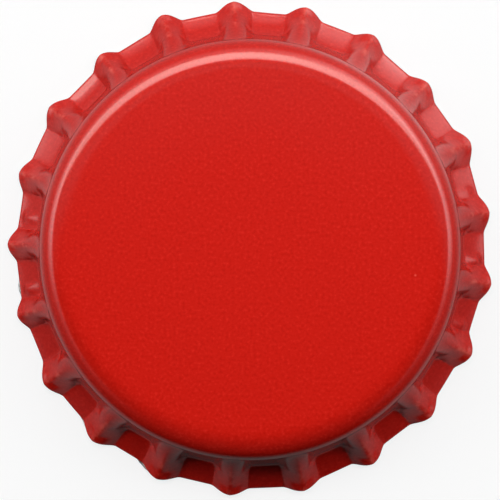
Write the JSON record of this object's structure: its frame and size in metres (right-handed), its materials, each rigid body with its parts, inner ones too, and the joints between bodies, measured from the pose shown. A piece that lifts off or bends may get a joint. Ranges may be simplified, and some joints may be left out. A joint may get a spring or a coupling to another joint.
{
  "type": "bottle cap",
  "caption": "Uncrimped crown cap for a glass bottle: a stamped tinplate shell with a flat red panel, rolled corner and fluted flaring skirt, and a moulded sealing liner inside.",
  "frame": {"origin": "centre of the rim plane, on which the cap stands", "axes": "+Z along the cap's axis, from the rim up through the panel; one flute's middle lies on -X"},
  "size_m": [0.0319, 0.032, 0.006],
  "materials": {
    "red_enamel_tinplate": "satin stoving enamel outside, clear lacquered tinplate inside and bare metal at the cut edge",
    "liner_compound": "soft pale grey sealing compound, moulded in place"
  },
  "bodies": {
    "root": {"crown_shell": "red_enamel_tinplate", "liner": "liner_compound"}
  },
  "joints": []
}
